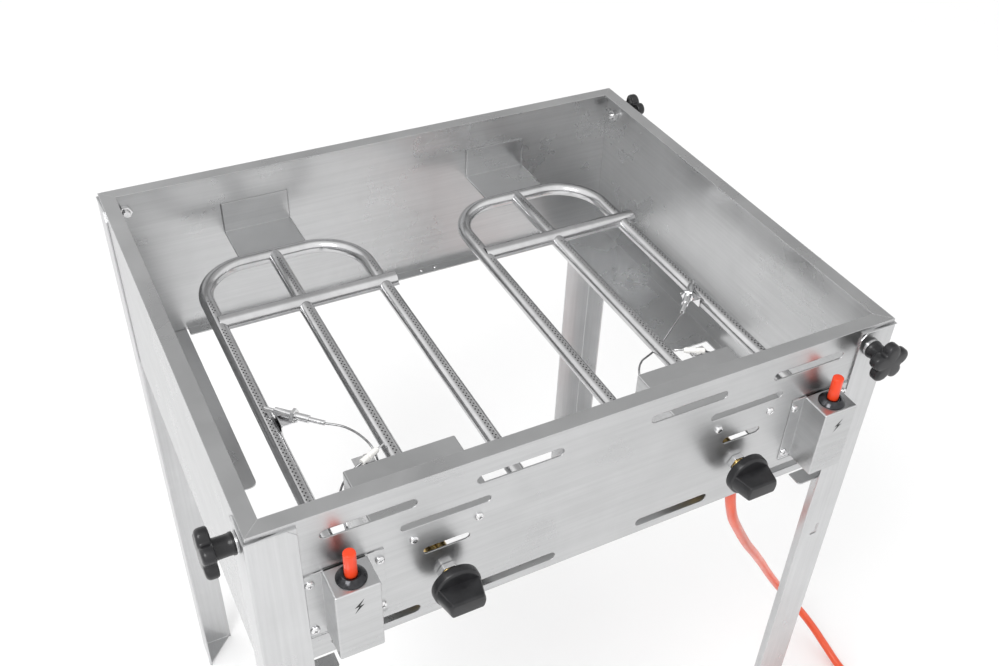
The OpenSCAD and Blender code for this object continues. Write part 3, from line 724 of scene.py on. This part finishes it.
def add_electrode(name, side):
    node = "electrode_" + name
    start = at(side * 191, -158, -79)
    lean = math.radians(152)
    along = Vector((side * math.cos(lean), math.sin(lean), 0))
    place = aimed(start, along)
    body = Shape()
    body.lathe([(0, 0), (2.9, 0), (3.2, 0.4), (3.2, 8), (2.5, 8.6), (2.5, 9.4), (3.2, 10), (3.2, 20), (2.2, 22),
                (0, 22)], place, 32)
    finish_piece(body.object(node + "_ceramic", 35), CERAMIC, BODY, "ceramic", node)
    mount = Shape()
    mount.lathe([(1, 21), (1, 31.2), (0.6, 32), (0, 32)], place, 16)
    base = at(0, 0, -84)
    plate = [(side * x, y) for x, y in ((177, -166), (197, -166), (197, -146), (177, -146))]
    mount.prism(plate, 0, 1.2, Matrix.Translation(base))
    block = [(side * x, y) for x, y in ((178, -160), (186, -160), (186, -148), (178, -148))]
    mount.prism(block, 0.5, 4.5, Matrix.Translation(base), 0.4, 0.94)
    finish_piece(mount.object(node + "_mount", 35), BRIGHT, BODY, "bright_metal")


LEFT_PROBE = [
    (-204, -98, -76), (-190, -108, -77), (-180, -124, -78), (-174, -142, -82), (-173, -154, -95),
    (-173, -160, -120), (-172, -162, -145), (-168, -172, -156), (-162, -192, -154), (-157, -210, -136),
    (-157, -214, -124),
]
RIGHT_PROBE = [
    (204, -96, -76), (188, -104, -84), (172, -110, -96), (157, -116, -100), (142, -124, -97),
    (128, -136, -88), (116, -149, -84), (112, -158, -92), (112, -161, -115), (114, -163, -145),
    (126, -172, -156), (146, -190, -154), (157, -210, -136), (157, -214, -124),
]
SPARK = [
    (249.5, -287, -138), (249.5, -285, -142), (249, -279, -143), (248, -266, -143), (240, -250, -146),
    (229, -226, -140), (222, -196, -124), (218, -168, -106), (207, -159.5, -90), (191, -158, -79),
]

LEAD_R = 1.1


def add_leads():
    routes = [LEFT_PROBE, RIGHT_PROBE, SPARK, [(-x, y, z) for x, y, z in SPARK]]
    for number, route in enumerate(routes, 1):
        lead = smooth_curve("lead_%d" % number, [at(*p) for p in route], LEAD_R * MM, steps=8, sides=3)
        finish_piece(lead, LEAD, BODY, "lead_metal", "leads")


PORT_SIDES = 8


def add_ports(name, side):
    """Two staggered rows of small gas ports along the top of each straight tube, drawn as near-black discs lying on
    the tube: painted shade for the holes' dark insides.
    """
    pitch, hole, lift = 2.7, 0.85, 0.06
    lean = 0.14
    shape = Shape()
    runs = [(0, -158, 90), (0, 118, 192)]
    for x in (-BRANCH, BRANCH):
        runs += [(x, -206, 90), (x, 118, 144)]
    for x, start, end in runs:
        for i in range(int((end - start) / pitch)):
            y = start + pitch * i
            a0 = lean if i % 2 else -lean
            ring = []
            for k in range(PORT_SIDES):
                t = 2 * math.pi / PORT_SIDES * k
                a = a0 + hole * math.cos(t) / TUBE_R
                r = TUBE_R + lift
                port_x = side * BURNER_X + x + r * math.sin(a)
                ring.append((port_x, y + hole * math.sin(t), TUBE_Z + r * math.cos(a)))
            # Each port is a flat near-black disc just above the tube's skin: painted shade, not an opening.
            shape.add([at(*p) / MM for p in ring], [list(range(PORT_SIDES))])
    finish_piece(shape.object("burner_ports_" + name), PORT_SHADE, BODY, "burner_tube")


def add_marks():
    """Small spark symbols on the igniter boxes."""
    shape = Shape()
    bolt = [(4.5, 8), (-4.2, -1), (-0.4, -0.6), (-4.5, -8), (4.2, 1), (0.4, 0.6)]
    for side in (-1, 1):
        place = aimed(at(side * IGNITER_X, -303, -85), (0, -1, 0))
        shape.add([(x, y, 0.04) for x, y in bolt], [list(range(len(bolt)))], place)
    finish_piece(shape.object("spark_marks"), BLACK, BODY, "black_plastic")


def paint(material, *nodes):
    for node in nodes:
        obj = frame["nodes"][node]
        obj.data.materials.clear()
        obj.data.materials.append(material)


def add_parts():
    paint(PANEL, "front_panel", "back_panel", "left_panel", "right_panel")
    for corner in CORNERS:
        rounded("leg_" + corner, LEG, "leg_steel", 2.4, 0.35)
    for corner in CLAMPS:
        add_clamp_knob(corner)
        rounded("clamp_washer_" + corner, BRIGHT, "bright_metal", 0.3, 0.3)
    rounded("corner_bolt", BRIGHT, "bright_metal", 0.4, 0.4)
    rounded("corner_washer", BRIGHT, "bright_metal", 0.3, 0.3)
    rounded("clamp_nuts", BRIGHT, "bright_metal", 0.5, 0.5)
    for name, side in zip(SIDES, (-1, 1)):
        paint(TUBE, "burner_loop_" + name, "burner_centre_" + name)
        rounded("flame_bridge_" + name, TUBE, "burner_tube", 0.4, 0.3)
        rounded("rear_bracket_" + name, SHEET, "sheet_steel", 1.6, 0.3)
        rounded("valve_box_" + name, SHEET, "sheet_steel", 1.6, 0.25, sheet=1.2)
        rounded("igniter_box_" + name, SHEET, "sheet_steel", 1.8, 0.25, sheet=1.2)
        rounded("valve_body_" + name, BRASS, "brass", 0.5, 0.5)
        rounded("valve_nut_" + name, BRIGHT, "bright_metal", 0.6, 0.6)
        paint(BRIGHT, "valve_plug_" + name, "valve_stem_" + name, "button_spring_" + name)
        paint(BLACK, "piezo_" + name)
        add_valve_knob(name, side)
        add_button(name, side)
        add_thermocouple(name, side)
        add_electrode(name, side)
        add_ports(name, side)
    paint(BRASS, "injectors")
    rounded("gas_manifold", BRIGHT, "bright_metal", 0.5, 0.5)
    rounded("hose_nozzle", BRASS, "brass", 0.5, 0.5)
    paint(LEAD, "regulator")
    add_screws()
    add_collars()
    add_leads()
    add_marks()


# ---------------------------------------------------------------- floor and light

FLOOR_REACH = 12
FLOOR_Z = -0.0005


def area_light(name, place, aim, size, power):
    data = bpy.data.lights.new(name, "AREA")
    data.shape = "RECTANGLE"
    data.size, data.size_y = size
    data.energy = power
    light = bpy.data.objects.new(name, data)
    light.location = place
    light.rotation_euler = (Vector(aim) - Vector(place)).to_track_quat("-Z", "Y").to_euler()
    bpy.context.scene.collection.objects.link(light)


def add_stage():
    mesh = bpy.data.meshes.new("floor")
    corners = [(-1, -1), (1, -1), (1, 1), (-1, 1)]
    mesh.from_pydata([(x * FLOOR_REACH, y * FLOOR_REACH, FLOOR_Z) for x, y in corners], [], [(0, 1, 2, 3)])
    floor = bpy.data.objects.new("floor", mesh)
    mesh.materials.append(floor_white())
    bpy.context.scene.collection.objects.link(floor)

    world = bpy.data.worlds.new("studio")
    bpy.context.scene.world = world
    world.use_nodes = True
    tree = world.node_tree
    sky = tree.nodes["Background"]
    place = tree.nodes.new("ShaderNodeTexCoord")
    # A white room with a dimmer ceiling towards the back right, which the level sheets mirror.
    aim = tree.nodes.new("ShaderNodeVectorMath")
    aim.operation = "DOT_PRODUCT"
    aim.inputs[1].default_value = Vector((0.41, 0.56, 0.72)).normalized()
    fade = tree.nodes.new("ShaderNodeMapRange")
    fade.interpolation_type = "SMOOTHSTEP"
    fade.inputs["From Min"].default_value = 0.62
    fade.inputs["From Max"].default_value = 0.96
    fade.inputs["To Min"].default_value = 1.25
    fade.inputs["To Max"].default_value = 0.58
    tree.links.new(place.outputs["Generated"], aim.inputs[0])
    tree.links.new(aim.outputs["Value"], fade.inputs["Value"])
    tree.links.new(fade.outputs["Result"], sky.inputs["Strength"])
    sky.inputs["Color"].default_value = (1, 1, 1, 1)

    area_light("key", (-1.4, -1.0, 2.6), (0, 0, 0.6), (1.0, 1.0), 30)
    bpy.context.scene.view_settings.view_transform = "Standard"


add_camera()
add_hose()
add_parts()
add_stage()

bpy.context.view_layer.update()
